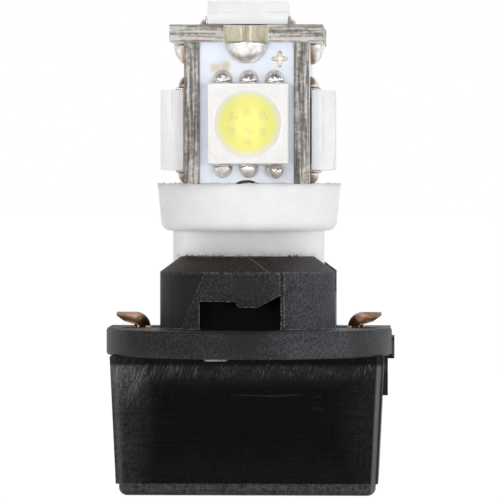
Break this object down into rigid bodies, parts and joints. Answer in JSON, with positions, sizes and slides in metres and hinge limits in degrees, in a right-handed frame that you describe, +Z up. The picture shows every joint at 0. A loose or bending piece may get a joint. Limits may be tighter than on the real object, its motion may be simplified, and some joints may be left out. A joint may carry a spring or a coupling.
{
  "type": "wedge base led bulb in twist-lock holder",
  "caption": "Wedge base LED bulb, square LEDs on a box of small boards, pushed into a black twist-lock panel holder with copper contact springs.",
  "frame": {"origin": "middle of the flat rest face under the holder's grip bar", "axes": "+Z up along the bulb's axis, +X along the wide grip bar, -Y towards the front of the picture"},
  "size_m": [0.018, 0.0159, 0.0305],
  "materials": {
    "black_moulding": "fine matt moulding",
    "white_moulding": "plain white moulding",
    "spring_copper": "bare copper strip, lightly tarnished",
    "board_laminate": "white solder mask over grey fibreglass",
    "led_housing": "smooth white LED housing",
    "led_filling": "yellow translucent filling",
    "tinned_wire": "tinned metal",
    "solder": "dull solder with flux stain",
    "chip_resistor": "black glazed chip with tinned ends"
  },
  "bodies": {
    "holder": {"contact_spring_left": "spring_copper", "contact_spring_right": "spring_copper", "holder_housing": "black_moulding"},
    "bulb": {"base_board": "board_laminate", "base_seam_front": "solder", "base_seam_left": "solder", "base_seam_rear": "solder", "base_seam_right": "solder", "bulb_base": "white_moulding", "front_board": "board_laminate", "lead_wire_left": "tinned_wire", "lead_wire_right": "tinned_wire", "led_body_front": "led_housing", "led_body_left": "led_housing", "led_body_rear": "led_housing", "led_body_right": "led_housing", "led_body_top": "led_housing", "led_leads_front": "tinned_wire", "led_leads_left": "tinned_wire", "led_leads_rear": "tinned_wire", "led_leads_right": "tinned_wire", "led_leads_top": "tinned_wire", "led_lens_front": "led_filling", "led_lens_left": "led_filling", "led_lens_rear": "led_filling", "led_lens_right": "led_filling", "led_lens_top": "led_filling", "led_solder_front": "solder", "led_solder_left": "solder", "led_solder_rear": "solder", "led_solder_right": "solder", "led_solder_top": "solder", "left_board": "board_laminate", "rear_board": "board_laminate", "resistor_front": "chip_resistor", "resistor_left": "chip_resistor", "resistor_rear": "chip_resistor", "resistor_right": "chip_resistor", "resistor_top": "chip_resistor", "right_board": "board_laminate", "solder_bridge_front": "solder", "solder_bridge_left": "solder", "solder_bridge_rear": "solder", "solder_bridge_right": "solder", "top_board": "board_laminate", "wire_solder_left": "solder", "wire_solder_right": "solder"}
  },
  "joints": [
    {"name": "bulb_pull", "type": "slide", "parent": "holder", "child": "bulb", "axis": [0, 0, 1], "range_m": [0, 0.0125]}
  ]
}
